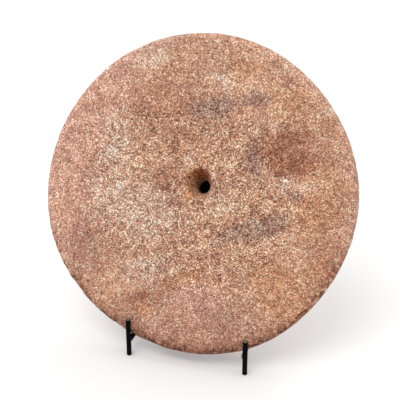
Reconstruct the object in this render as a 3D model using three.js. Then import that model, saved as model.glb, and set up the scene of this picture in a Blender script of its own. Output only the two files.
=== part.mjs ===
// A perforated stone disc, pecked and ground to a flat lens, leaning back in a welded stand of black steel.
// Millimetres, +Z up. The disc's worked face looks towards -Y, and the stand's three feet are on Z = 0.
import * as THREE from "three";
import { mergeVertices } from "three/addons/utils/BufferGeometryUtils.js";

// The disc
const DISC_RADIUS = 158.8;
const CENTRE_THICKNESS = 34;
const RIM_THICKNESS = 21;
const RIM_ROUNDING = 10; // how far in from the edge the face starts to turn over
const RIM_FULLNESS = 2.2; // 2 is a true ellipse, more is squarer
const DISC_LEAN = THREE.MathUtils.degToRad(20.7);
const FLOOR_CLEARANCE = 8.7;

// The hole, drilled mostly from the front: a dish there, a waist halfway, and a narrow way out at the back
const WAIST_RADIUS = 6.6;
const FRONT_DISH_RADIUS = 17;
const BACK_DISH_RADIUS = 8.6;
const DISH_FLARE = 1.9; // 1 is a straight cone, more is a rounder lip
const HOLE_RIGHT = 4.7;
const HOLE_UP = 12.2;
const HOLE_SLANT_RIGHT = 0.06; // how far the hole runs off square, for each millimetre of depth
const HOLE_SLANT_UP = -0.19;

// The outline is a little lobed, from grinding by hand: so many lobes, so high, turned so far
const OUTLINE_LOBES = [
  { lobes: 3, height: 0.64, turned: -0.785 },
  { lobes: 4, height: 0.87, turned: 0.286 },
  { lobes: 5, height: 0.39, turned: 0 },
  { lobes: 6, height: 0.18, turned: 0.11 },
];

// Small flakes gone from the edge of the front face: bearing anticlockwise from the right, in radians
const RIM_FLAKES = [
  { bearing: -2.39, length: 20, bite: 1.5 },
  { bearing: -2.02, length: 13, bite: 1.1 },
  { bearing: -1.77, length: 17, bite: 1.3 },
  { bearing: -1.31, length: 24, bite: 1.2 },
  { bearing: 2.05, length: 15, bite: 0.9 },
  { bearing: 0.21, length: 22, bite: 1 },
];

// Old spalls in the front face. Each has a step along a line, whose middle is right of and above the disc's
// centre and which rises at a heading, all in shares of the radius. The stone below the line is lower.
const SPALLS = [
  { right: -0.085, up: -0.557, heading: 0.565, halfLength: 0.36, run: 0.5, depth: 2.4, stepWidth: 7 },
  { right: 0.615, up: 0.45, heading: -0.3, halfLength: 0.26, run: 0.42, depth: 2.2, stepWidth: 20 },
  { right: -0.34, up: -0.86, heading: -0.36, halfLength: 0.26, run: 1.2, depth: 1.6, stepWidth: 26 },
];

// Long low waves left in both faces by the grinding
const GRINDING_WAVES = [
  { height: 0.4, length: 118, heading: 0.5, start: 0.8 },
  { height: 0.3, length: 83, heading: 1.9, start: 2.1 },
  { height: 0.22, length: 57, heading: -0.7, start: 4.0 },
];

// The stand
const ROD_RADIUS = 2.5;
const POST_SPACING = 120.9;
const STAND_RIGHT_OF_DISC = 6.7; // the disc has settled a little off the middle of its stand
const LEFT_POST_HEIGHT = 41.4;
const RIGHT_POST_HEIGHT = 37.7;
const POST_CLEARANCE = 0.3; // between a front post and the disc's edge
const LEFT_ARM_INSET = 0.5; // how far each arm closes in towards the back
const RIGHT_ARM_INSET = 5;
const ARM_RISE = 52; // how far each arm's rear end turns up behind the disc
const BEND_RADIUS = 7;
const CROSS_BAR_UP = 34; // along the lean, from the middle of the arms
const CROSS_BAR_OVERHANG = 6;
const BACK_BAR_WIDTH = 25;
const BACK_BAR_CORNER = 0.8;
const BACK_BAR_BELOW_CROSS_BAR = 10;
const BACK_BAR_ABOVE_CENTRE = 34; // its top end, along the lean from the disc's centre
const REAR_FOOT_REACH = 165; // from the front feet to the rear foot
const REAR_LEG_BELOW_TOP = 16;
const SEAT_GAP = 0.3; // left between pieces that touch or are welded
const FOOT_FLAT_RADIUS = 1.6;

// How finely it is all made
const DISC_SECTORS = 96;
const DISH_RINGS = 5;
const FACE_RINGS = 10;
const RIM_RINGS = 4;
const ROD_SIDES = 12;
const BEND_STEPS = 5;
const DOME_STEPS = 3;

const stone = new THREE.MeshStandardMaterial({ color: 0xbb927a, roughness: 0.9, metalness: 0 });
const blackSteel = new THREE.MeshStandardMaterial({ color: 0x100f12, roughness: 0.5, metalness: 0.3 });

const smooth = THREE.MathUtils.smoothstep;

// Half the disc's thickness at a distance from its centre, before the hole
function halfThickness(radius) {
  const flatEnd = DISC_RADIUS - RIM_ROUNDING;
  const share = Math.min(radius, flatEnd) / DISC_RADIUS;
  const face = THREE.MathUtils.lerp(CENTRE_THICKNESS / 2, RIM_THICKNESS / 2, share ** 2);
  const turn = Math.max(0, radius - flatEnd) / RIM_ROUNDING;
  return face * (1 - turn ** RIM_FULLNESS) ** (1 / RIM_FULLNESS);
}

// One side of the section, from the hole's waist out over the face to the edge: [radius, height] pairs
function sectionSide(dishRadius, faceRings) {
  const section = [];
  const lip = halfThickness(dishRadius);
  for (let i = 1; i <= DISH_RINGS; i++) {
    const t = i / DISH_RINGS;
    const radius = THREE.MathUtils.lerp(WAIST_RADIUS, dishRadius, t);
    section.push([radius, lip * (1 - (1 - t) ** DISH_FLARE)]);
  }
  const flatEnd = DISC_RADIUS - RIM_ROUNDING;
  for (let i = 1; i <= faceRings; i++) {
    const radius = THREE.MathUtils.lerp(dishRadius, flatEnd, i / faceRings);
    section.push([radius, halfThickness(radius)]);
  }
  for (let i = 1; i < RIM_RINGS; i++) {
    const radius = flatEnd + RIM_ROUNDING * Math.sin((i / RIM_RINGS) * (Math.PI / 2));
    section.push([radius, halfThickness(radius)]);
  }
  return section;
}

function outlineHeight(bearing) {
  return OUTLINE_LOBES.reduce((sum, o) => sum + o.height * Math.cos(o.lobes * (bearing - o.turned)), 0);
}

// How deep the edge flakes bite at a bearing
function flakeBite(bearing) {
  return RIM_FLAKES.reduce((sum, flake) => {
    const turn = Math.atan2(Math.sin(bearing - flake.bearing), Math.cos(bearing - flake.bearing));
    const share = (Math.abs(turn) * DISC_RADIUS * 2) / flake.length;
    return sum + flake.bite * Math.max(0, 1 - share ** 2);
  }, 0);
}

// How far the spalls lower the front face at a point of it
function spallDepth(x, y) {
  return SPALLS.reduce((sum, spall) => {
    const right = x - spall.right * DISC_RADIUS;
    const up = y - spall.up * DISC_RADIUS;
    const along = right * Math.cos(spall.heading) + up * Math.sin(spall.heading);
    const below = right * Math.sin(spall.heading) - up * Math.cos(spall.heading);
    const step = smooth(below, -spall.stepWidth / 2, spall.stepWidth / 2);
    const run = 1 - smooth(below, 0, spall.run * DISC_RADIUS);
    const halfLength = spall.halfLength * DISC_RADIUS;
    const ends = 1 - smooth(Math.abs(along), 0.4 * halfLength, halfLength);
    return sum + spall.depth * step * run * ends;
  }, 0);
}

function grindingWave(x, y, side) {
  return GRINDING_WAVES.reduce((sum, wave) => {
    const along = x * Math.cos(wave.heading) + y * Math.sin(wave.heading);
    return sum + wave.height * Math.sin((2 * Math.PI * along) / wave.length + wave.start * side);
  }, 0);
}

// The disc standing square, its worked face towards +Z of its own frame
function discGeometry() {
  const front = sectionSide(FRONT_DISH_RADIUS, FACE_RINGS);
  const back = sectionSide(BACK_DISH_RADIUS, FACE_RINGS).map(([radius, height]) => [radius, -height]);
  const loop = [[WAIST_RADIUS, 0], ...back, [DISC_RADIUS, 0], ...front.reverse(), [WAIST_RADIUS, 0]];
  const section = loop.map(([radius, height]) => new THREE.Vector2(radius, height));
  const turned = new THREE.LatheGeometry(section, DISC_SECTORS);
  turned.rotateX(Math.PI / 2);
  turned.deleteAttribute("normal");
  turned.deleteAttribute("uv");
  const geometry = mergeVertices(turned, 1e-3);
  const place = geometry.getAttribute("position");
  for (let i = 0; i < place.count; i++) place.setXYZ(i, ...worn(place.getX(i), place.getY(i), place.getZ(i)));
  return geometry;
}

// Moves a point of the plain turned disc to where it is on the worn, hand-made one
function worn(x, y, z) {
  const radius = Math.hypot(x, y);
  const bearing = Math.atan2(y, x);
  const nearHole = 1 - smooth(radius, FRONT_DISH_RADIUS, DISC_RADIUS);
  const depth = Math.max(0, halfThickness(FRONT_DISH_RADIUS) - z);
  const frontness = z > 0 ? smooth(z, 0, RIM_THICKNESS / 4) : 0;
  const nearEdge = smooth(radius, 0.6 * DISC_RADIUS, DISC_RADIUS);
  const scale = 1 + ((outlineHeight(bearing) - flakeBite(bearing) * frontness) * nearEdge) / radius;
  const newX = x * scale + (HOLE_RIGHT + HOLE_SLANT_RIGHT * depth) * nearHole;
  const newY = y * scale + (HOLE_UP + HOLE_SLANT_UP * depth) * nearHole;
  const side = Math.sign(z);
  const share = Math.min(1, Math.abs(z) / (RIM_THICKNESS / 2));
  const wave = grindingWave(newX, newY, side) * share;
  const spall = z > 0 ? spallDepth(newX, newY) * share : 0;
  return [newX, newY, z + side * wave - spall];
}

const faceWay = new THREE.Vector3(0, -Math.cos(DISC_LEAN), Math.sin(DISC_LEAN));
const slopeUp = new THREE.Vector3(0, Math.sin(DISC_LEAN), Math.cos(DISC_LEAN));

// Stands the disc up, leaning back, with its lowest point at the clearance over the floor
function leaningDisc() {
  const disc = new THREE.Mesh(discGeometry(), stone);
  disc.name = "stone_disc";
  disc.rotation.x = Math.PI / 2 - DISC_LEAN;
  disc.updateMatrixWorld(true);
  disc.position.z = FLOOR_CLEARANCE - new THREE.Box3().setFromObject(disc, true).min.z;
  disc.updateMatrixWorld(true);
  return disc;
}

const disc = leaningDisc();
const ray = new THREE.Raycaster();
const FAR = 4 * DISC_RADIUS;

// How far a straight bar from start to end can move along a way before it meets the disc
function travelToDisc(start, end, way, halfWidth, isRound) {
  const across = new THREE.Vector3().subVectors(end, start).cross(way).normalize();
  const lengthSteps = Math.ceil(start.distanceTo(end) / 2);
  let travel = Infinity;
  for (let i = 0; i <= lengthSteps; i++) {
    for (let j = -4; j <= 4; j++) {
      const offset = (halfWidth * j) / 4;
      const nose = isRound ? Math.sqrt(halfWidth ** 2 - offset ** 2) : 0;
      const from = new THREE.Vector3().lerpVectors(start, end, i / lengthSteps);
      from.addScaledVector(across, offset);
      ray.set(from, way);
      const [hit] = ray.intersectObject(disc);
      if (hit) travel = Math.min(travel, hit.distance - nose);
    }
  }
  return travel;
}

// A closed round rod through stations {at, radius}. A station with level true is cut parallel to the floor.
function rodGeometry(stations) {
  const centres = stations.map((station) => station.at);
  const tangents = centres.map((_, i) => {
    const before = centres[Math.max(0, i - 1)];
    const after = centres[Math.min(centres.length - 1, i + 1)];
    return new THREE.Vector3().subVectors(after, before).normalize();
  });
  let across = Math.abs(tangents[0].x) < 0.7 ? new THREE.Vector3(1, 0, 0) : new THREE.Vector3(0, 1, 0);
  const positions = [];
  stations.forEach(({ at, radius, level }, i) => {
    const tangent = tangents[i];
    across = across.clone().addScaledVector(tangent, -across.dot(tangent)).normalize();
    const other = new THREE.Vector3().crossVectors(tangent, across);
    for (let side = 0; side < ROD_SIDES; side++) {
      const turn = (2 * Math.PI * side) / ROD_SIDES;
      const point = at.clone();
      point.addScaledVector(across, radius * Math.cos(turn)).addScaledVector(other, radius * Math.sin(turn));
      if (level) point.addScaledVector(tangent, (at.z - point.z) / tangent.z);
      positions.push(...point.toArray());
    }
  });
  const indices = [];
  for (let i = 0; i < stations.length - 1; i++) {
    for (let side = 0; side < ROD_SIDES; side++) {
      const a = i * ROD_SIDES + side;
      const b = i * ROD_SIDES + ((side + 1) % ROD_SIDES);
      indices.push(a, b, b + ROD_SIDES, a, b + ROD_SIDES, a + ROD_SIDES);
    }
  }
  const last = (stations.length - 1) * ROD_SIDES;
  for (let side = 1; side < ROD_SIDES - 1; side++) {
    indices.push(0, side + 1, side);
    indices.push(last, last + side, last + side + 1);
  }
  const geometry = new THREE.BufferGeometry();
  geometry.setAttribute("position", new THREE.Float32BufferAttribute(positions, 3));
  geometry.setIndex(indices);
  geometry.computeVertexNormals();
  return geometry;
}

// A rounded end at a point, for a rod that runs away from it towards another: from the flat tip inwards
function domedEnd(tip, towards) {
  const inwards = new THREE.Vector3().subVectors(towards, tip).normalize();
  const stations = [];
  for (let i = 0; i <= DOME_STEPS; i++) {
    const turn = THREE.MathUtils.lerp(Math.PI / 5, Math.PI / 2, i / DOME_STEPS);
    const depth = ROD_RADIUS * (Math.cos(Math.PI / 5) - Math.cos(turn));
    stations.push({ at: tip.clone().addScaledVector(inwards, depth), radius: ROD_RADIUS * Math.sin(turn) });
  }
  return stations;
}

// The bend that joins two straight stretches at a corner
function bend(before, corner, after) {
  const inWay = new THREE.Vector3().subVectors(before, corner).normalize();
  const outWay = new THREE.Vector3().subVectors(after, corner).normalize();
  const halfAngle = inWay.angleTo(outWay) / 2;
  const tangentLength = BEND_RADIUS / Math.tan(halfAngle);
  const middle = new THREE.Vector3().addVectors(inWay, outWay).normalize();
  const centre = corner.clone().addScaledVector(middle, BEND_RADIUS / Math.sin(halfAngle));
  const start = corner.clone().addScaledVector(inWay, tangentLength).sub(centre);
  const end = corner.clone().addScaledVector(outWay, tangentLength).sub(centre);
  const axis = new THREE.Vector3().crossVectors(start, end).normalize();
  const sweep = start.angleTo(end);
  return Array.from({ length: BEND_STEPS + 1 }, (_, i) => ({
    at: start.clone().applyAxisAngle(axis, (sweep * i) / BEND_STEPS).add(centre),
    radius: ROD_RADIUS,
  }));
}

function rod(name, stations) {
  const mesh = new THREE.Mesh(rodGeometry(stations), blackSteel);
  mesh.name = name;
  return mesh;
}

// A foot with a small flat on the floor, for a leg that rises towards a point
function foot(x, y, towards) {
  const tip = new THREE.Vector3(x, y, 0);
  const rise = new THREE.Vector3().subVectors(towards, tip).normalize();
  const chamfer = ROD_RADIUS - FOOT_FLAT_RADIUS;
  return [
    { at: tip, radius: FOOT_FLAT_RADIUS, level: true },
    { at: tip.clone().addScaledVector(rise, 1.2 * chamfer), radius: ROD_RADIUS - 0.3 * chamfer, level: true },
    { at: tip.clone().addScaledVector(rise, 3 * chamfer), radius: ROD_RADIUS },
  ];
}

// The stand's back lies in one leaning plane, this far behind the disc's middle plane
const stoneCentre = disc.position;
const standMiddle = STAND_RIGHT_OF_DISC + (LEFT_ARM_INSET - RIGHT_ARM_INSET) / 2;
const farBehind = stoneCentre.clone().setX(standMiddle).addScaledVector(faceWay, -FAR);
const backBarTop = farBehind.clone().addScaledVector(slopeUp, BACK_BAR_ABOVE_CENTRE);
const backBarLow = farBehind.clone().addScaledVector(slopeUp, -DISC_RADIUS);
const backPlane = FAR - travelToDisc(backBarLow, backBarTop, faceWay, BACK_BAR_WIDTH / 2, false) + SEAT_GAP;

// A point at a height and across, so far behind the back plane
function onLean(x, z, behind) {
  const setBack = backPlane + behind;
  const along = (z - stoneCentre.z + setBack * Math.sin(DISC_LEAN)) / Math.cos(DISC_LEAN);
  return stoneCentre.clone().setX(x).addScaledVector(slopeUp, along).addScaledVector(faceWay, -setBack);
}

// One side of the stand: the post in front of the disc, and the arm under it that turns up behind
function sideOfStand(label, side, postHeight, inset) {
  const postX = STAND_RIGHT_OF_DISC + (side * POST_SPACING) / 2;
  const rearX = postX - side * inset;
  const postLow = new THREE.Vector3(postX, -FAR, 0);
  const postHigh = new THREE.Vector3(postX, -FAR, postHeight);
  const towardsDisc = new THREE.Vector3(0, 1, 0);
  const postY = -FAR + travelToDisc(postLow, postHigh, towardsDisc, ROD_RADIUS, true) - POST_CLEARANCE;

  const underFront = new THREE.Vector3(postX, postY, -FAR);
  const underBack = onLean(rearX, FLOOR_CLEARANCE, ROD_RADIUS).setZ(-FAR);
  const upwards = new THREE.Vector3(0, 0, 1);
  const armZ = -FAR + travelToDisc(underFront, underBack, upwards, ROD_RADIUS, true) - SEAT_GAP;

  const tip = new THREE.Vector3(postX, postY, postHeight);
  const post = rod(label + "_front_post", [
    ...foot(postX, postY, tip),
    ...domedEnd(tip, postLow.setY(postY)).reverse(),
  ]);

  const corner = onLean(rearX, armZ, ROD_RADIUS);
  const start = new THREE.Vector3(postX, postY, armZ);
  const armWay = new THREE.Vector3().subVectors(corner, start).normalize();
  start.addScaledVector(armWay, ROD_RADIUS + SEAT_GAP);
  const top = corner.clone().addScaledVector(slopeUp, ARM_RISE);
  const arm = rod(label + "_arm", [
    { at: start, radius: ROD_RADIUS },
    ...bend(start, corner, top),
    ...domedEnd(top, corner).reverse(),
  ]);
  return { meshes: [post, arm], postY, rearX, armZ };
}

const left = sideOfStand("left", -1, LEFT_POST_HEIGHT, LEFT_ARM_INSET);
const right = sideOfStand("right", 1, RIGHT_POST_HEIGHT, RIGHT_ARM_INSET);

// The cross bar is welded behind both arms' upright ends
const crossBarZ = (left.armZ + right.armZ) / 2 + CROSS_BAR_UP * Math.cos(DISC_LEAN);
const crossBarBehind = 3 * ROD_RADIUS + SEAT_GAP;
const crossLeft = onLean(left.rearX - CROSS_BAR_OVERHANG, crossBarZ, crossBarBehind);
const crossRight = onLean(right.rearX + CROSS_BAR_OVERHANG, crossBarZ, crossBarBehind);
const crossBar = rod("cross_bar", [
  ...domedEnd(crossLeft, crossRight),
  ...domedEnd(crossRight, crossLeft).reverse(),
]);

// The flat back bar, as thick as the rod, is welded to the cross bar's front and reaches up past the hole
function backBar() {
  const top = stoneCentre.clone().setX(standMiddle).addScaledVector(slopeUp, BACK_BAR_ABOVE_CENTRE);
  top.addScaledVector(faceWay, -(backPlane + ROD_RADIUS));
  const low = onLean(standMiddle, crossBarZ, ROD_RADIUS).addScaledVector(slopeUp, -BACK_BAR_BELOW_CROSS_BAR);
  const half = { x: BACK_BAR_WIDTH / 2, y: ROD_RADIUS };
  const section = new THREE.Shape();
  const quarter = Math.PI / 2;
  const inset = { x: half.x - BACK_BAR_CORNER, y: half.y - BACK_BAR_CORNER };
  [[1, 1], [-1, 1], [-1, -1], [1, -1]].forEach(([x, y], i) => {
    section.absarc(x * inset.x, y * inset.y, BACK_BAR_CORNER, i * quarter, (i + 1) * quarter);
  });
  const geometry = new THREE.ExtrudeGeometry(section, {
    depth: low.distanceTo(top),
    bevelEnabled: false,
    curveSegments: 3,
  });
  const mesh = new THREE.Mesh(geometry, blackSteel);
  mesh.name = "back_bar";
  mesh.position.copy(low);
  mesh.rotation.x = -DISC_LEAN;
  return { mesh, top };
}

const back = backBar();

// The rear leg is welded to the back bar's rear face and runs down to a foot behind the disc
function rearLeg() {
  const footY = (left.postY + right.postY) / 2 + REAR_FOOT_REACH;
  const joint = back.top.clone().addScaledVector(slopeUp, -REAR_LEG_BELOW_TOP);
  joint.addScaledVector(faceWay, -ROD_RADIUS);
  const legWay = new THREE.Vector3().subVectors(joint, new THREE.Vector3(standMiddle, footY, 0)).normalize();
  const angle = legWay.angleTo(slopeUp);
  const setBack = (ROD_RADIUS * Math.cos(angle) + SEAT_GAP) / Math.sin(angle);
  const top = joint.addScaledVector(legWay, -setBack);
  return rod("rear_leg", [...foot(standMiddle, footY, top), { at: top, radius: ROD_RADIUS }]);
}

const object = new THREE.Group();
object.add(disc, ...left.meshes, ...right.meshes, crossBar, back.mesh, rearLeg());

// The frame's origin is on the floor, under the middle of the whole object
const box = new THREE.Box3().setFromObject(object, true);
object.position.set(-(box.min.x + box.max.x) / 2, -(box.min.y + box.max.y) / 2, 0);

export default object;
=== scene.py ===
"""A hand-worked stone disc leaning back in its black steel stand, on a pale studio floor.

Metres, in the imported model's own frame: +Z is up and the disc's worked face looks towards -Y.
The disc is shaped square to the axes first, with its worked face towards +Z, and then leaned into place.
"""
from math import atan2, cos, hypot, pi, radians, sin, tan

import bmesh
import bpy
from mathutils import Matrix, Vector, noise


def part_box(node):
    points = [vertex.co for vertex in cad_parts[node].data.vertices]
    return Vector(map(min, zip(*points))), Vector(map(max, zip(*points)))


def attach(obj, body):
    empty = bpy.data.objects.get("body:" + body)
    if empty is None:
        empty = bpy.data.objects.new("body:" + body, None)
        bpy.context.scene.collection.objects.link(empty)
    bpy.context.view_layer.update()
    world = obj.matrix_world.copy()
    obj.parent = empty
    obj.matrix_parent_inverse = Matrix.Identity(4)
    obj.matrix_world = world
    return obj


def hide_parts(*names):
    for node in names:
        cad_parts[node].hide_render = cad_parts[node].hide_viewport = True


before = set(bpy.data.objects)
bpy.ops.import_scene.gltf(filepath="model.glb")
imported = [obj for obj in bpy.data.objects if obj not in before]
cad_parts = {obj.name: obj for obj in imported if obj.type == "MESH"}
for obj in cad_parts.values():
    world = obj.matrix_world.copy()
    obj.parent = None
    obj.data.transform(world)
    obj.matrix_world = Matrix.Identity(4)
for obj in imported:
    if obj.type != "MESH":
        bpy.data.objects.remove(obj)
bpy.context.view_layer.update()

MM = 0.001

# The disc, as the model has it
DISC_RADIUS = 158.8 * MM
CENTRE_THICKNESS = 34 * MM
RIM_THICKNESS = 21 * MM
RIM_ROUNDING = 10 * MM
RIM_FULLNESS = 2.2
DISC_LEAN = radians(20.7)

# The hole
WAIST_RADIUS = 6.6 * MM
FRONT_DISH_RADIUS = 17 * MM
BACK_DISH_RADIUS = 8.6 * MM
DISH_FLARE = 1.9
HOLE_RIGHT = 4.7 * MM
HOLE_UP = 12.2 * MM
HOLE_SLANT_RIGHT = 0.06
HOLE_SLANT_UP = -0.19

# The outline's lobes, as (how many, height, turned), and the flakes gone from the front edge, as
# (bearing, length, bite)
OUTLINE_LOBES = [(3, 0.64, -0.785), (4, 0.87, 0.286), (5, 0.39, 0.0), (6, 0.18, 0.11)]
RIM_FLAKES = [
    (-2.39, 20, 1.5),
    (-2.02, 13, 1.1),
    (-1.77, 17, 1.3),
    (-1.31, 24, 1.2),
    (2.05, 15, 0.9),
    (0.21, 22, 1.0),
]

# Spalls in the front face: a step along a line, with lower stone below it
SPALLS = [
    dict(right=-0.085, up=-0.557, heading=0.565, half_length=0.36, run=0.5, depth=2.4, step=7),
    dict(right=0.615, up=0.45, heading=-0.3, half_length=0.26, run=0.42, depth=2.2, step=20),
    dict(right=-0.34, up=-0.86, heading=-0.36, half_length=0.26, run=1.2, depth=1.6, step=26),
]

# Waves left by the grinding, as (height, length, heading, start)
GRINDING_WAVES = [(0.4, 118, 0.5, 0.8), (0.3, 83, 1.9, 2.1), (0.22, 57, -0.7, 4.0)]

# How closely the stone is modelled
FRONT_SPACING = 1.36 * MM
BACK_SPACING = 2.7 * MM
HOLE_SECTORS = 168
DOUBLE_SECTORS_BEYOND = 36 * MM
DOUBLE_FRONT_SECTORS_BEYOND = 72 * MM
SAME_PLACE = 0.001 * MM

# The pecked skin: how wide its grains, lumps, pits and chips are
SKIN_GRAIN = 2.4 * MM
SKIN_LUMP = 12 * MM
PIT = 5 * MM
CHIP = 11 * MM

# How deep each of them goes, in millimetres
GRAIN_DEPTH = 0.2
LUMP_DEPTH = 0.45
PIT_DEPTH = 0.4
CHIP_DEPTH = 0.6

# Bands along the disc's edge, by the radius where each starts: chips, soiled stone with painted shade at the
# bottom, and the edge's band of nicks low down and painted highlight higher up, which is at its full
# strength a little further out
CHIPPED_FROM = DISC_RADIUS - 13 * MM
SOILED_AND_SHADED_FROM = DISC_RADIUS - 20 * MM
EDGE_FROM = DISC_RADIUS - 11 * MM
EDGE_FULL_FROM = DISC_RADIUS - 3 * MM

# The stand
ROD_RADIUS = 2.5 * MM
ROD_SIDES = 32
BEND_RADIUS = 7 * MM
BEND_STEP = radians(7)
ARM_RISE = 52 * MM
BACK_BAR_WIDTH = 25 * MM
BACK_BAR_CORNER = 0.8 * MM
WELD_SIZE = 1.1 * MM
FILLET_SIZE = 1.3 * WELD_SIZE
LEG_WELD_STRETCH = 1.4

# How far the rods' ends are filed
FOOT_CHAMFER = 0.9 * MM
POST_TOP_CHAMFER = 0.4 * MM
FREE_END_CHAMFER = 0.6 * MM
ARM_FRONT_CHAMFER = 0.2 * MM
REAR_FOOT_CHAMFER = 1.4 * MM
LEG_JOINT_CHAMFER = 0.1 * MM

# The camera, round the middle of the disc
CAMERA_AZIMUTH = radians(16.5)
CAMERA_ELEVATION = radians(24)
CAMERA_DISTANCE = 0.9
CAMERA_LENS = 81.7
AIM_RIGHT = 2.9 * MM
AIM_UP = -5.3 * MM

# The studio: two round lights, an even sky and a white floor just below the feet
LIGHT_WIDTH = 2.6
KEY_PLACE = (-0.5, -2.2, 3.8)
KEY_POWER = 66
OVERHEAD_PLACE = (0.9, 1.7, 3.6)
OVERHEAD_POWER = 33
SKY_STRENGTH = 0.95
FLOOR_WHITE = 0.815
FLOOR_HALF_WIDTH = 6
FLOOR_GAP = 0.2 * MM

UP = Vector((0, 0, 1))
FACE_WAY = Vector((0, -cos(DISC_LEAN), sin(DISC_LEAN)))
SLOPE_UP = Vector((0, sin(DISC_LEAN), cos(DISC_LEAN)))
LEAN = Matrix.Rotation(pi / 2 - DISC_LEAN, 4, "X")


def between(low, high, share):
    return low + (high - low) * share


def ease(value, low, high):
    """0 below low, 1 above high and a smooth change between."""
    share = min(1.0, max(0.0, (value - low) / (high - low)))
    return share * share * (3 - 2 * share)


def finished(name, form, slot, *nodes):
    """Turns a form into a piece of the scene that stands for its CAD nodes."""
    bmesh.ops.recalc_face_normals(form, faces=form.faces)
    mesh = bpy.data.meshes.new(name)
    form.to_mesh(mesh)
    form.free()
    mesh.shade_smooth()
    piece = bpy.data.objects.new(name, mesh)
    bpy.context.scene.collection.objects.link(piece)
    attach(piece, "root")
    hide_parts(*nodes)
    return piece


# The stone's form

# What each corner of the stone says about its surface, for the stone's colours, painted shade and painted
# highlight
DISC_LAYERS = ["pecked", "hollow", "shaded_soiled_underside", "nicked_edge", "highlit_upper_rim"]


def half_thickness(radius):
    """Half the disc's thickness at a radius, before the hole."""
    flat_end = DISC_RADIUS - RIM_ROUNDING
    share = min(radius, flat_end) / DISC_RADIUS
    face = between(CENTRE_THICKNESS / 2, RIM_THICKNESS / 2, share ** 2)
    turn = min(1.0, max(0.0, (radius - flat_end) / RIM_ROUNDING))
    return face * (1 - turn ** RIM_FULLNESS) ** (1 / RIM_FULLNESS)


def section_side(dish_radius, spacing):
    """(radius, height) pairs from just past the hole's waist to just short of the disc's edge."""
    lip = half_thickness(dish_radius)
    flat_end = DISC_RADIUS - RIM_ROUNDING
    pairs = []
    dish_steps = round(hypot(lip, dish_radius - WAIST_RADIUS) / spacing)
    for i in range(1, dish_steps + 1):
        share = i / dish_steps
        height = lip * (1 - (1 - share) ** DISH_FLARE)
        pairs.append((between(WAIST_RADIUS, dish_radius, share), height))
    face_steps = round((flat_end - dish_radius) / spacing)
    for i in range(1, face_steps + 1):
        radius = between(dish_radius, flat_end, i / face_steps)
        pairs.append((radius, half_thickness(radius)))
    rim_steps = round(RIM_ROUNDING * pi / 2 / FRONT_SPACING)
    for i in range(1, rim_steps):
        radius = flat_end + RIM_ROUNDING * sin(i / rim_steps * pi / 2)
        pairs.append((radius, half_thickness(radius)))
    return pairs


def outline_height(bearing):
    return sum(height * MM * cos(lobes * (bearing - turned)) for lobes, height, turned in OUTLINE_LOBES)


def flake_bite(bearing):
    bite = 0.0
    for middle, length, depth in RIM_FLAKES:
        turn = atan2(sin(bearing - middle), cos(bearing - middle))
        share = abs(turn) * DISC_RADIUS * 2 / (length * MM)
        bite += depth * MM * max(0.0, 1 - share ** 2)
    return bite


def spall_share(x, y, spall):
    """0 outside a spall, and up to 1 on its floor below the step."""
    right = x - spall["right"] * DISC_RADIUS
    up = y - spall["up"] * DISC_RADIUS
    along = right * cos(spall["heading"]) + up * sin(spall["heading"])
    below = right * sin(spall["heading"]) - up * cos(spall["heading"])
    half_step = spall["step"] * MM / 2
    half_length = spall["half_length"] * DISC_RADIUS
    step = ease(below, -half_step, half_step)
    run = 1 - ease(below, 0, spall["run"] * DISC_RADIUS)
    ends = 1 - ease(abs(along), 0.4 * half_length, half_length)
    return step * run * ends


def grinding_wave(x, y, side):
    total = 0.0
    for height, length, heading, start in GRINDING_WAVES:
        along = x * cos(heading) + y * sin(heading)
        total += height * MM * sin(2 * pi * along / (length * MM) + start * side)
    return total


def worn(place):
    """Where a point of the plain turned disc is on the worn, hand-made one."""
    x, y, z = place
    radius = hypot(x, y)
    bearing = atan2(y, x)
    near_hole = 1 - ease(radius, FRONT_DISH_RADIUS, DISC_RADIUS)
    near_edge = ease(radius, 0.6 * DISC_RADIUS, DISC_RADIUS)
    depth = max(0.0, half_thickness(FRONT_DISH_RADIUS) - z)
    frontness = ease(z, 0, RIM_THICKNESS / 4)
    scale = 1 + (outline_height(bearing) - flake_bite(bearing) * frontness) * near_edge / radius
    new_x = x * scale + (HOLE_RIGHT + HOLE_SLANT_RIGHT * depth) * near_hole
    new_y = y * scale + (HOLE_UP + HOLE_SLANT_UP * depth) * near_hole
    side = 1 if z > 0 else -1
    share = min(1.0, abs(z) / (RIM_THICKNESS / 2))
    new_z = z + side * grinding_wave(new_x, new_y, side) * share
    if z > 0:
        new_z -= share * sum(s["depth"] * MM * spall_share(new_x, new_y, s) for s in SPALLS)
    return Vector((new_x, new_y, new_z))


def peck(place, size, reach):
    """A round pit in most cells of that size: 0 between pits and up to 1 in the middle of one."""
    distances, middles = noise.voronoi(place / size)
    strength = 0.5 + 0.5 * noise.noise(middles[0] * 3.7)
    return strength * max(0.0, 1 - (distances[0] / reach) ** 2)


def surface_depth(place, radius, in_hole):
    """How far the hammered skin lies under the plain form, and how much of that is a pit."""
    grain = 0.5 - 0.5 * noise.noise(place / SKIN_GRAIN)
    lump = 0.5 - 0.5 * noise.fractal(place / SKIN_LUMP, 0.9, 2.1, 3)
    spalled = max(spall_share(place.x, place.y, s) for s in SPALLS) if place.z > 0 else 0.0
    pit = peck(place, PIT, 0.55) * (1 - 0.5 * spalled) * (1 - 0.5 * in_hole)
    chip = peck(place + Vector((0.03, 0.01, 0.02)), CHIP, 0.5)
    chip *= ease(radius, CHIPPED_FROM, DISC_RADIUS)
    depth = GRAIN_DEPTH * grain + LUMP_DEPTH * max(0.0, lump) + PIT_DEPTH * pit + CHIP_DEPTH * chip
    return depth * MM, min(1.0, pit + 0.4 * chip)


def add_sectors(form, edges, sectors):
    """Halves those ring edges and puts the new corners back on their circles."""
    before = set(form.verts)
    bmesh.ops.subdivide_edges(form, edges=edges, cuts=1)
    for corner in form.verts:
        if corner not in before:
            corner.co.x /= cos(pi / sectors)
            corner.co.y /= cos(pi / sectors)


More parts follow.
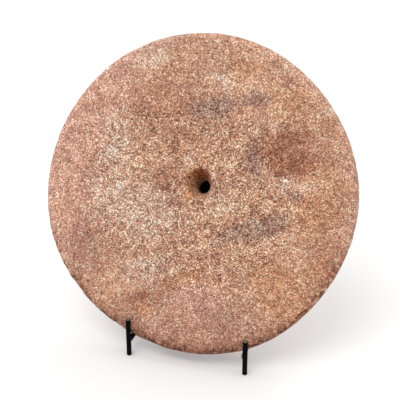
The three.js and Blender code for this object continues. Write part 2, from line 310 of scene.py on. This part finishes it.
def ring_edges_beyond(form, split, lowest):
    found = []
    for edge in form.edges:
        a, b = (corner.co for corner in edge.verts)
        level = abs(a.z - b.z) < SAME_PLACE and abs(hypot(a.x, a.y) - hypot(b.x, b.y)) < SAME_PLACE
        if level and hypot(a.x, a.y) > split and a.z > lowest:
            found.append(edge)
    return found


def turned_disc():
    """The plain disc: its section spun round the axis, with more sectors further out."""
    form = bmesh.new()
    front = section_side(FRONT_DISH_RADIUS, FRONT_SPACING)
    back = [(radius, -height) for radius, height in section_side(BACK_DISH_RADIUS, BACK_SPACING)]
    section = [(WAIST_RADIUS, 0), *front, (DISC_RADIUS, 0), *reversed(back)]
    corners = [form.verts.new((radius, 0, height)) for radius, height in section]
    edges = [form.edges.new(pair) for pair in zip(corners, corners[1:] + corners[:1])]
    bmesh.ops.spin(
        form, geom=corners + edges, cent=(0, 0, 0), axis=UP, dvec=(0, 0, 0), angle=2 * pi,
        steps=HOLE_SECTORS, use_merge=True, use_duplicate=False,
    )
    bmesh.ops.remove_doubles(form, verts=form.verts, dist=SAME_PLACE)
    add_sectors(form, ring_edges_beyond(form, DOUBLE_SECTORS_BEYOND, -DISC_RADIUS), HOLE_SECTORS)
    outer = ring_edges_beyond(form, DOUBLE_FRONT_SECTORS_BEYOND, -RIM_THICKNESS / 2)
    add_sectors(form, outer, 2 * HOLE_SECTORS)
    return form


def stone_disc():
    """The worn disc in its place, and where its centre is."""
    form = turned_disc()
    layers = [form.verts.layers.float.new(name) for name in DISC_LAYERS]
    pecked, hollow, shaded_soiled_underside, nicked_edge, highlit_upper_rim = layers
    plain_radius = {}
    for corner in form.verts:
        plain_radius[corner] = hypot(corner.co.x, corner.co.y)
        corner.co = worn(corner.co)
    bmesh.ops.recalc_face_normals(form, faces=form.faces)
    form.normal_update()
    leaned = [LEAN @ corner.co for corner in form.verts]
    low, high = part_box("stone_disc")
    centre = Vector((
        (low.x + high.x - min(p.x for p in leaned) - max(p.x for p in leaned)) / 2,
        low.y - min(p.y for p in leaned),
        low.z - min(p.z for p in leaned),
    ))
    moves = []
    for corner in form.verts:
        radius = plain_radius[corner]
        dish = FRONT_DISH_RADIUS if corner.co.z > 0 else BACK_DISH_RADIUS
        in_hole = 1 - ease(radius, 0.6 * dish, dish)
        depth, pit = surface_depth(corner.co, radius, in_hole)
        corner[pecked] = pit
        corner[hollow] = 1 - ease(radius, 0.6 * dish, 1.2 * dish)
        at_edge = ease(radius, EDGE_FROM, EDGE_FULL_FROM)
        low_side = ease(-corner.co.y, 0.5 * DISC_RADIUS, 0.97 * DISC_RADIUS)
        # Soiled stone with painted shade: darker towards the bottom of the rim, where it turns down away
        # from the light
        corner[shaded_soiled_underside] = low_side * ease(radius, SOILED_AND_SHADED_FROM, DISC_RADIUS)
        corner[nicked_edge] = at_edge * ease(-corner.co.y, 0, 0.5 * DISC_RADIUS)
        # A painted highlight along the upper half of the rim, where the rounded edge turns up to the light
        corner[highlit_upper_rim] = at_edge * ease(corner.co.y, -0.5 * DISC_RADIUS, 0)
        moves.append(corner.normal * depth)
    for corner, move in zip(form.verts, moves):
        corner.co -= move
    bmesh.ops.transform(form, matrix=Matrix.Translation(centre) @ LEAN, verts=form.verts)
    return finished("worked_stone_disc", form, "stone", "stone_disc"), centre


# The stand

def steel_form():
    """An empty form whose corners can say that they lie on a rod's cut end, whose face carries a painted
    highlight.
    """
    form = bmesh.new()
    form.verts.layers.float.new("cut")
    return form


def end_of(node, way, within=0.6 * MM):
    """The middle of a CAD rod's end: the mean of the corners that reach furthest that way."""
    corners = [corner.co.copy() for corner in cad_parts[node].data.vertices]
    reach = max(corner.dot(way) for corner in corners)
    ends = sorted({tuple(round(x, 7) for x in c) for c in corners if c.dot(way) > reach - within})
    return sum((Vector(end) for end in ends), Vector()) / len(ends)


def turned_to(way, place):
    """The matrix that turns +Z to a way and moves it to a place."""
    return Matrix.Translation(place) @ UP.rotation_difference(way).to_matrix().to_4x4()


def edges_among(form, corners):
    members = set(corners)
    return [edge for edge in form.edges if edge.verts[0] in members and edge.verts[1] in members]


def corners_of(result):
    return [item for item in result if isinstance(item, bmesh.types.BMVert)]


def drawn_out(form, ring, run):
    """Extrudes a rod's open ring in a straight line and gives the new ring."""
    made = bmesh.ops.extrude_edge_only(form, edges=edges_among(form, ring))
    corners = corners_of(made["geom"])
    bmesh.ops.translate(form, verts=corners, vec=run)
    return corners


def bent_round(form, ring, centre, axis, angle):
    """Spins a rod's open ring round a bend and gives the new ring."""
    made = bmesh.ops.spin(
        form, geom=ring + edges_among(form, ring), cent=centre, axis=axis, dvec=(0, 0, 0), angle=angle,
        steps=max(4, round(angle / BEND_STEP)), use_merge=False, use_duplicate=False,
    )
    return corners_of(made["geom_last"])


def rod(form, *points):
    """A round rod along straight stretches that meet in bends. Gives its two open rings."""
    way = (points[1] - points[0]).normalized()
    made = bmesh.ops.create_circle(
        form, cap_ends=False, radius=ROD_RADIUS, segments=ROD_SIDES, matrix=turned_to(way, points[0]),
    )
    first = made["verts"]
    ring = first
    here = points[0]
    for before, corner, after in zip(points, points[1:], points[2:]):
        way_in = (corner - before).normalized()
        way_out = (after - corner).normalized()
        axis = way_in.cross(way_out).normalized()
        angle = way_in.angle(way_out)
        run = BEND_RADIUS * tan(angle / 2)
        bend_start = corner - way_in * run
        ring = drawn_out(form, ring, bend_start - here)
        ring = bent_round(form, ring, bend_start + axis.cross(way_in) * BEND_RADIUS, axis, angle)
        here = corner + way_out * run
    return first, drawn_out(form, ring, points[-1] - here)


def cut_end(form, ring, chamfer):
    """Closes a rod's open ring, files its sharp edge and marks the cut's face for a painted highlight."""
    edges = edges_among(form, ring)
    middle = sum((corner.co for corner in ring), Vector()) / len(ring)
    bmesh.ops.contextual_create(form, geom=edges)
    bmesh.ops.bevel(
        form, geom=edges, offset=chamfer, offset_type="OFFSET", segments=3, profile=0.5,
        affect="EDGES", material=-1,
    )
    cap = min(form.faces, key=lambda face: (face.calc_center_median() - middle).length)
    painted_highlight_layer = form.verts.layers.float["cut"]
    for corner in cap.verts:
        corner[painted_highlight_layer] = 1


def weld_ring(form, middle, way, stretch):
    """A bead of weld round a rod's end, stretched up the lean because the rod meets the bar at a slant."""
    place = turned_to(way, middle)
    before = set(form.verts)
    section = bmesh.ops.create_circle(
        form, cap_ends=False, radius=WELD_SIZE, segments=10,
        matrix=place @ Matrix.Translation((ROD_RADIUS, 0, 0)) @ Matrix.Rotation(pi / 2, 4, "X"),
    )
    bmesh.ops.spin(
        form, geom=section["verts"] + edges_among(form, section["verts"]), cent=middle, axis=way,
        dvec=(0, 0, 0), angle=2 * pi, steps=30, use_merge=True, use_duplicate=False,
    )
    bead = [corner for corner in form.verts if corner not in before]
    bmesh.ops.scale(form, vec=(1, 1, stretch), space=turned_to(SLOPE_UP, middle).inverted(), verts=bead)


def weld_fillet(form, middle, half_length):
    """A bead of weld laid from side to side in the corner between two parts."""
    made = bmesh.ops.create_uvsphere(form, u_segments=18, v_segments=12, radius=1)
    size = Matrix.Diagonal((half_length, FILLET_SIZE, FILLET_SIZE, 1))
    bmesh.ops.transform(form, matrix=Matrix.Translation(middle) @ size, verts=made["verts"])


def front_post(side):
    node = side + "_front_post"
    foot = end_of(node, -UP)
    top = end_of(node, UP)
    form = steel_form()
    low_ring, top_ring = rod(form, foot, top)
    cut_end(form, low_ring, FOOT_CHAMFER)
    cut_end(form, top_ring, POST_TOP_CHAMFER)
    return finished(side + "_post_rod", form, "black_steel", node)


def arm(side):
    """The rod under the disc, welded to its post and turned up behind the disc."""
    node = side + "_arm"
    start = end_of(node, Vector((0, -1, 0)))
    top = end_of(node, SLOPE_UP)
    corner = top - SLOPE_UP * ARM_RISE
    form = steel_form()
    low_ring, top_ring = rod(form, start, corner, top)
    cut_end(form, low_ring, ARM_FRONT_CHAMFER)
    cut_end(form, top_ring, FREE_END_CHAMFER)
    return finished(side + "_arm_rod", form, "black_steel", node)


def cross_bar():
    left = end_of("cross_bar", Vector((-1, 0, 0)))
    right = end_of("cross_bar", Vector((1, 0, 0)))
    form = steel_form()
    left_ring, right_ring = rod(form, left, right)
    cut_end(form, left_ring, FREE_END_CHAMFER)
    cut_end(form, right_ring, FREE_END_CHAMFER)
    touching = FACE_WAY * (ROD_RADIUS - 0.4 * WELD_SIZE)
    crossings = [
        (end_of("left_arm", SLOPE_UP).x, ROD_RADIUS),
        (end_of("right_arm", SLOPE_UP).x, ROD_RADIUS),
        (end_of("back_bar", SLOPE_UP).x, 0.44 * BACK_BAR_WIDTH),
    ]
    for x, half_length in crossings:
        for way in (-1, 1):
            middle = Vector((x, left.y, left.z)) + touching + SLOPE_UP * way * 0.75 * ROD_RADIUS
            weld_fillet(form, middle, half_length)
    return finished("cross_bar_rod", form, "black_steel", "cross_bar")


def back_bar():
    low = end_of("back_bar", -SLOPE_UP)
    top = end_of("back_bar", SLOPE_UP)
    form = bmesh.new()
    bmesh.ops.create_cube(form, size=1)
    size = Matrix.Diagonal((BACK_BAR_WIDTH, 2 * ROD_RADIUS, (top - low).length, 1))
    bmesh.ops.transform(form, matrix=turned_to(SLOPE_UP, (low + top) / 2) @ size, verts=form.verts)
    bmesh.ops.bevel(
        form, geom=list(form.edges), offset=BACK_BAR_CORNER, offset_type="OFFSET", segments=4,
        profile=0.5, affect="EDGES", material=-1,
    )
    return finished("flat_back_bar", form, "black_steel", "back_bar")


def rear_leg():
    """The leg is cut level at its foot, and on the slant where it meets the back bar."""
    foot = end_of("rear_leg", -UP) - Vector((0, 0.3 * MM, 0))
    top = end_of("rear_leg", Vector((0, -0.42, 0.9)), 1.2 * MM)
    way = (top - foot).normalized()
    bar_face = end_of("back_bar", SLOPE_UP) - FACE_WAY * ROD_RADIUS
    joint = foot + way * ((bar_face - foot).dot(FACE_WAY) / way.dot(FACE_WAY))
    form = steel_form()
    rod(form, foot - way * 3 * ROD_RADIUS, joint + way * 3 * ROD_RADIUS)
    ends = [(foot, -UP, REAR_FOOT_CHAMFER), (joint, FACE_WAY, LEG_JOINT_CHAMFER)]
    for place, outwards, chamfer in ends:
        whole = list(form.verts) + list(form.edges) + list(form.faces)
        cut = bmesh.ops.bisect_plane(
            form, geom=whole, plane_co=place, plane_no=outwards, clear_outer=True,
        )
        cut_end(form, corners_of(cut["geom_cut"]), chamfer)
    weld_ring(form, joint - FACE_WAY * 0.2 * MM, FACE_WAY, LEG_WELD_STRETCH)
    return finished("rear_leg_rod", form, "black_steel", "rear_leg")


# Finishes

# How far above the disc's middle plane the marks lie, and how deep they reach
MARK_HEIGHT = 14 * MM
MARK_DEPTH = 30 * MM


def shade(red, green, blue):
    """A colour as it looks on a screen, turned into light."""
    channels = []
    for value in (red, green, blue):
        value /= 255
        channels.append(value / 12.92 if value <= 0.04045 else ((value + 0.055) / 1.055) ** 2.4)
    return (*channels, 1.0)


class Finish:
    """A material whose nodes are added one after another."""

    def __init__(self, name, roughness, colour=(0.5, 0.5, 0.5, 1)):
        self.material = bpy.data.materials.new(name)
        self.material.use_nodes = True
        self.tree = self.material.node_tree
        self.shader = self.tree.nodes["Principled BSDF"]
        self.shader.inputs["Base Color"].default_value = colour
        self.shader.inputs["Roughness"].default_value = roughness
        coordinates = self.tree.nodes.new("ShaderNodeTexCoord")
        self.place = coordinates.outputs["Object"]

    def put(self, socket, value):
        if isinstance(value, bpy.types.NodeSocket):
            self.tree.links.new(value, socket)
        else:
            socket.default_value = value

    def node(self, kind, inputs, **settings):
        made = self.tree.nodes.new(kind)
        for name, value in settings.items():
            setattr(made, name, value)
        for name, value in inputs.items():
            self.put(made.inputs[name], value)
        return made

    def moved(self, vector, kind="POINT", location=(0, 0, 0), turn=(0, 0, 0), scale=(1, 1, 1)):
        inputs = {"Vector": vector, "Location": location, "Rotation": turn, "Scale": scale}
        return self.node("ShaderNodeMapping", inputs, vector_type=kind).outputs["Vector"]

    def joined(self, first, second, how):
        return self.node("ShaderNodeMath", {0: first, 1: second}, operation=how).outputs[0]

    def plus(self, first, second):
        return self.joined(first, second, "ADD")

    def times(self, first, second):
        return self.joined(first, second, "MULTIPLY")

    def larger(self, first, second):
        return self.joined(first, second, "MAXIMUM")

    def clouds(self, vector, size, detail=3.0, roughness=0.6):
        """Soft noise whose patches are about that size, from 0 to 1."""
        inputs = {"Vector": vector, "Scale": 1 / size, "Detail": detail, "Roughness": roughness}
        return self.node("ShaderNodeTexNoise", inputs).outputs["Fac"]

    def shaken(self, vector, size, reach):
        """The same place, moved about by noise of that size."""
        inputs = {"Vector": vector, "Scale": 1 / size, "Detail": 2.0}
        noisy = self.node("ShaderNodeTexNoise", inputs).outputs["Color"]
        wander = self.node("ShaderNodeVectorMath", {0: noisy, 1: (0.5, 0.5, 0.5)}, operation="SUBTRACT")
        step = self.node("ShaderNodeVectorMath", {0: wander.outputs[0], "Scale": reach}, operation="SCALE")
        return self.node("ShaderNodeVectorMath", {0: vector, 1: step.outputs[0]}, operation="ADD").outputs[0]

    def grains(self, vector, size):
        """Cells of about that size: each one's own value, and the distance from its middle."""
        made = self.node("ShaderNodeTexVoronoi", {"Vector": vector, "Scale": 1 / size})
        channels = self.node("ShaderNodeSeparateColor", {"Color": made.outputs["Color"]})
        return channels.outputs[0], made.outputs["Distance"]

    def spread(self, value, low, high, new_low=0.0, new_high=1.0):
        inputs = {"Value": value, 1: low, 2: high, 3: new_low, 4: new_high}
        return self.node("ShaderNodeMapRange", inputs, interpolation_type="SMOOTHSTEP").outputs[0]

    def colours(self, value, stops, interpolation="LINEAR"):
        made = self.node("ShaderNodeValToRGB", {"Fac": value})
        made.color_ramp.interpolation = interpolation
        steps = made.color_ramp.elements
        while len(steps) < len(stops):
            steps.new(0.5)
        for step, (position, colour) in zip(steps, stops):
            step.position = position
            step.color = colour
        return made.outputs["Color"]

    def mixed(self, share, first, second, how="MIX"):
        made = self.node("ShaderNodeMix", {}, data_type="RGBA", blend_type=how)
        for socket, value in ((0, share), (6, first), (7, second)):
            self.put(made.inputs[socket], value)
        return made.outputs[2]

    def attribute(self, name):
        return self.node("ShaderNodeAttribute", {}, attribute_name=name).outputs["Fac"]

    def bump(self, height, depth, under=None):
        inputs = {"Height": height, "Distance": depth, "Strength": 1.0}
        if under is not None:
            inputs["Normal"] = under
        return self.node("ShaderNodeBump", inputs).outputs["Normal"]

    def stain(self, vector, middle, reach, turn=0.0, softness=0.5):
        """1 in the middle of an oval patch of the disc's face, and 0 outside it."""
        right, up = (value * MM for value in middle)
        wide, high = (value * MM for value in reach)
        oval = self.moved(
            vector, kind="TEXTURE", location=(right, up, MARK_HEIGHT), turn=(0, 0, turn),
            scale=(wide, high, MARK_DEPTH),
        )
        fall = self.node("ShaderNodeTexGradient", {"Vector": oval}, gradient_type="SPHERICAL").outputs["Fac"]
        return self.spread(fall, 0.0, softness)

    def dress(self, *pieces):
        for piece in pieces:
            piece.data.materials.clear()
            piece.data.materials.append(self.material)


# Marks on the worked face, each an oval as (middle, half width and half height, turn): millimetres right
# and up of the disc's centre
GREY_STAINS = [
    ((12, 86), (38, 13), 0.15),
    ((52, 99), (20, 9), 0.2),
    ((58, -29), (46, 14), 0.3),
    ((82, -18), (18, 11), 0.3),
    ((56, 42), (10, 28), 0.2),
    ((100, 8), (9, 7), 0.0),
]
# Painted shade in brown under the spall steps: the dent at the right and the ledge at the lower left
HOLLOW_SHADE_PATCHES = [
    ((73, 54), (20, 20), 0.5),
    ((90, 66), (26, 12), 0.1),
    ((-46, -106), (12, 5), 0.5),
    ((90, 38), (34, 17), 0.2),
]
# Reddish stains; the patch at (-49, -107) is painted shade under the lower-left ledge
RED_STAINS_AND_LEDGE_SHADE = [
    ((-38, 86), (52, 30), 0.0),
    ((-16, 52), (22, 18), 0.2),
    ((-30, 12), (18, 16), 0.0),
    ((-18, -8), (12, 10), 0.0),
    ((-49, -107), (24, 10), 0.4),
    ((140, -46), (24, 30), 0.0),
    ((94, 50), (42, 26), 0.2),
]
# Orange stains; the long patch at (-6, -87) is painted light, orange along the lit slope of the lower-left
# ledge
ORANGE_STAINS_AND_LIT_LEDGE = [
    ((-6, -87), (44, 12), 0.5),
    ((132, -64), (22, 26), 0.0),
    ((104, 92), (50, 24), -0.3),
    ((120, 8), (34, 52), 0.0),
    ((96, -84), (34, 56), 0.7),
    ((36, 118), (26, 22), 0.0),
]
CREAM_CRUSTS = [
    ((-86, 46), (26, 40), 0.0),
    ((-80, -6), (46, 38), 0.0),
    ((-50, -24), (60, 40), 0.0),
    ((33, -6), (22, 14), 0.0),
    ((28, 114), (44, 18), 0.0),
    ((-58, 132), (28, 20), 0.4),
    ((101, 20), (36, 16), 0.1),
    ((114, 95), (30, 16), -0.4),
    ((-6, 36), (14, 12), 0.0),
    ((-42, -80), (32, 22), 0.5),
]
OCHRE_PATCHES = [
    ((-4, 0), (10, 8), -0.5),
    ((-42, -121), (17, 13), -0.5),
]
# Pinker, lighter stone; the band at (-136, 0) is partly pinker stone and partly painted light from the left,
# and the patch at (20, 15) is a painted highlight on the lit right lip of the hole
PINK_STAINS_AND_PAINTED_LIGHT = [
    ((-136, 0), (48, 130), 0.0),
    ((-104, 100), (60, 46), 0.8),
    ((12, -100), (32, 24), 0.0),
    ((20, 15), (8, 13), 0.0),
]
MAUVE_PATCHES = [
    ((10, -122), (100, 40), 0.0),
    ((-116, -66), (30, 44), 0.5),
]
SPECKLED_MIDDLE = ((-6, 0), (150, 125), 0.0)
# Rust-brown stain in the hole's dish, kept to its upper wall as painted shade, the lower wall being lit
DISH_STAIN_AND_SHADE = ((-2, 20), (21, 20), 0.0)
# Painted shade, dark rust-brown, on the dish's upper wall, which faces away from the light
DISH_PAINTED_SHADE = ((6, 20), (17, 18), 0.0)


def stone_finish(centre):
    """Pecked granular stone: cream, pink, brown and dark grains; stains, painted shade and painted light."""
    stone = Finish("pecked granular stone", 0.9)
    stone.shader.inputs["Specular IOR Level"].default_value = 0.2
    turn_back = (-(pi / 2 - DISC_LEAN), 0, 0)
    place = stone.moved(stone.place, location=LEAN.inverted() @ -centre, turn=turn_back)
    ragged = stone.shaken(place, 1.0 * MM, 0.8 * MM)
    blurred = stone.shaken(stone.shaken(place, 26 * MM, 14 * MM), 6 * MM, 10 * MM)

    def marks(places, softness=0.6):
        """1 in the middle of any of those marks, and 0 outside them all."""
        total = stone.stain(blurred, *places[0], softness=softness)
        for mark in places[1:]:
            total = stone.larger(total, stone.stain(blurred, *mark, softness=softness))
        return total

    mottle = stone.spread(stone.clouds(place, 9 * MM, detail=5.0), 0.36, 0.64, -0.07, 0.07)
    crust_cover = stone.spread(stone.clouds(place, 14 * MM, detail=6.0, roughness=0.7), 0.4, 0.62, 0.3, 1.0)
    crust = stone.times(marks(CREAM_CRUSTS, 0.8), crust_cover)
    # Reddish stains, and painted shade under the lower-left ledge
    red = marks(RED_STAINS_AND_LEDGE_SHADE)
    # Soil and painted shade along the bottom of the rim
    shaded_soiled_underside = stone.attribute("shaded_soiled_underside")
    lift = mottle
    for share, amount in ((crust, 0.14), (red, -0.04), (shaded_soiled_underside, -0.2)):
        lift = stone.plus(lift, stone.times(share, amount))

    large, gaps = stone.grains(ragged, 1.1 * MM)
    small = stone.grains(ragged, 0.7 * MM)[0]
    largest = stone.grains(ragged, 2.6 * MM)[0]
    grain_colours = [
        (0.0, shade(58, 42, 38)),
        (0.09, shade(110, 80, 68)),
        (0.24, shade(158, 113, 94)),
        (0.46, shade(194, 144, 118)),
        (0.66, shade(218, 170, 138)),
        (0.82, shade(246, 214, 174)),
        (0.93, shade(255, 252, 226)),
    ]
    coarse = stone.colours(stone.plus(large, lift), grain_colours, "CONSTANT")
    fine = stone.colours(stone.plus(small, lift), grain_colours, "CONSTANT")
    colour = stone.mixed(0.3, coarse, fine)
    blotches = stone.colours(stone.plus(largest, lift), grain_colours, "CONSTANT")
    at_low_edge = stone.attribute("nicked_edge")
    colour = stone.mixed(stone.times(at_low_edge, 0.75), colour, blotches)
    gap_share = stone.spread(gaps, 0.35, 0.85)
    colour = stone.mixed(gap_share, colour, (0.62, 0.55, 0.5, 1), "MULTIPLY")
    ground_smooth = stone.spread(stone.stain(blurred, *SPECKLED_MIDDLE, softness=0.5), 0.0, 1.0, 0.2, 0.0)
    colour = stone.mixed(ground_smooth, colour, shade(198, 152, 127))

    tone = stone.colours(
        stone.clouds(place, 34 * MM, detail=5.0, roughness=0.65),
        [(0.38, (0.98, 0.94, 0.95, 1)), (0.62, (1.15, 1.1, 1.08, 1))],
    )
    colour = stone.mixed(1.0, colour, tone, "MULTIPLY")
    hollow = stone.attribute("hollow")
    # Brown stain in the dish, kept to its upper wall: partly the stone's stain, partly painted shade
    stained_and_shaded_wall = stone.times(hollow, stone.stain(place, *DISH_STAIN_AND_SHADE, softness=0.6))
    # Painted shade on the dish's upper wall
    painted_shade_wall = stone.times(hollow, stone.stain(place, *DISH_PAINTED_SHADE, softness=0.8))
    nicks = stone.times(at_low_edge, stone.spread(stone.clouds(place, 4 * MM), 0.49, 0.57))
    washes = [
        (crust, (0.98, 1.09, 1.25, 1)),
        (marks(GREY_STAINS), (0.69, 0.7, 0.8, 1)),
        # Painted shade under the spall steps
        (marks(HOLLOW_SHADE_PATCHES), (0.74, 0.61, 0.56, 1)),
        (red, (0.92, 0.86, 0.86, 1)),
        # Orange stains, and painted light along the lower-left ledge
        (marks(ORANGE_STAINS_AND_LIT_LEDGE), (0.98, 0.9, 0.82, 1)),
        (marks(OCHRE_PATCHES, 1.0), (1.16, 0.98, 0.76, 1)),
        # Pink stains, and painted light on the left and on the hole's right lip
        (marks(PINK_STAINS_AND_PAINTED_LIGHT), (1.1, 1.1, 1.2, 1)),
        (marks(MAUVE_PATCHES), (0.88, 0.86, 0.9, 1)),
        (stained_and_shaded_wall, (0.88, 0.7, 0.52, 1)),
        (painted_shade_wall, (0.42, 0.22, 0.12, 1)),
        # Painted shade with soil, darker towards the bottom of the rim
        (shaded_soiled_underside, (0.77, 0.69, 0.66, 1)),
        (nicks, (0.4, 0.32, 0.3, 1)),
        # Painted highlight along the upper rim
        (stone.attribute("highlit_upper_rim"), (1.11, 1.15, 1.22, 1)),
        (stone.attribute("pecked"), (0.66, 0.58, 0.54, 1)),
    ]
    for share, wash in washes:
        colour = stone.mixed(share, colour, wash, "MULTIPLY")
    stone.put(stone.shader.inputs["Base Color"], colour)

    skin = stone.bump(stone.clouds(place, 1.0 * MM, detail=3.0, roughness=0.7), 0.5 * MM)
    stone.put(stone.shader.inputs["Normal"], stone.bump(gaps, -0.3 * MM, skin))
    return stone


def steel_finish():
    """Mild steel, blackened and oiled, rubbed a little where handled, with painted highlight on the cut
    ends' faces.
    """
    steel = Finish("blackened steel", 0.5)
    steel.shader.inputs["Specular IOR Level"].default_value = 0.03
    rub = steel.clouds(steel.place, 9 * MM, detail=6.0, roughness=0.7)
    grit = steel.clouds(steel.place, 0.8 * MM, detail=2.0)
    steel.put(steel.shader.inputs["Roughness"], steel.spread(rub, 0.3, 0.7, 0.4, 0.62))
    rubbed = steel.spread(rub, 0.56, 0.76, 0.0, 0.4)
    black = steel.mixed(rubbed, (0.002, 0.002, 0.003, 1), (0.014, 0.012, 0.012, 1))
    # Painted highlight: the faces of the cut ends in lighter grey
    colour = steel.mixed(steel.attribute("cut"), black, (0.12, 0.115, 0.11, 1))
    steel.put(steel.shader.inputs["Base Color"], colour)
    steel.put(steel.shader.inputs["Normal"], steel.bump(grit, 0.06 * MM))
    return steel


# The studio

def soft_light(name, place, target, power):
    lamp = bpy.data.lights.new(name, "AREA")
    lamp.shape = "DISK"
    lamp.size = LIGHT_WIDTH
    lamp.energy = power
    item = bpy.data.objects.new(name, lamp)
    item.location = place
    item.rotation_euler = (target - Vector(place)).to_track_quat("-Z", "Y").to_euler()
    bpy.context.scene.collection.objects.link(item)


def paper_floor():
    form = bmesh.new()
    bmesh.ops.create_grid(form, x_segments=1, y_segments=1, size=FLOOR_HALF_WIDTH)
    bmesh.ops.translate(form, verts=form.verts, vec=(0, 0, -FLOOR_GAP))
    mesh = bpy.data.meshes.new("studio_floor")
    form.to_mesh(mesh)
    form.free()
    floor = bpy.data.objects.new("studio_floor", mesh)
    bpy.context.scene.collection.objects.link(floor)
    white = Finish("white paper floor", 0.9, (FLOOR_WHITE, FLOOR_WHITE, FLOOR_WHITE, 1))
    white.dress(floor)


def sky():
    world = bpy.data.worlds.new("studio")
    world.use_nodes = True
    background = world.node_tree.nodes["Background"]
    background.inputs["Color"].default_value = (1, 1, 1, 1)
    background.inputs["Strength"].default_value = SKY_STRENGTH
    bpy.context.scene.world = world


def camera_on(centre):
    """The camera, turned round the disc's centre and aimed a little beside it."""
    lens = bpy.data.cameras.new("camera")
    lens.lens = CAMERA_LENS
    lens.sensor_width = 36
    lens.clip_start = 0.01
    camera = bpy.data.objects.new("camera", lens)
    bpy.context.scene.collection.objects.link(camera)
    bpy.context.scene.camera = camera
    back = Vector((
        sin(CAMERA_AZIMUTH) * cos(CAMERA_ELEVATION),
        -cos(CAMERA_AZIMUTH) * cos(CAMERA_ELEVATION),
        sin(CAMERA_ELEVATION),
    ))
    camera_right = UP.cross(back).normalized()
    camera_up = back.cross(camera_right)
    aim = centre + camera_right * AIM_RIGHT + camera_up * AIM_UP
    camera.location = aim + back * CAMERA_DISTANCE
    camera.rotation_euler = (-back).to_track_quat("-Z", "Y").to_euler()


def studio(centre):
    paper_floor()
    sky()
    bpy.context.scene.view_settings.view_transform = "Standard"
    bpy.context.scene.view_settings.look = "None"
    soft_light("key", KEY_PLACE, centre, KEY_POWER)
    soft_light("overhead", OVERHEAD_PLACE, centre, OVERHEAD_POWER)
    camera_on(centre)


disc, disc_centre = stone_disc()
stone_finish(disc_centre).dress(disc)
stand = [
    front_post("left"),
    front_post("right"),
    arm("left"),
    arm("right"),
    cross_bar(),
    back_bar(),
    rear_leg(),
]
steel_finish().dress(*stand)
studio(disc_centre)
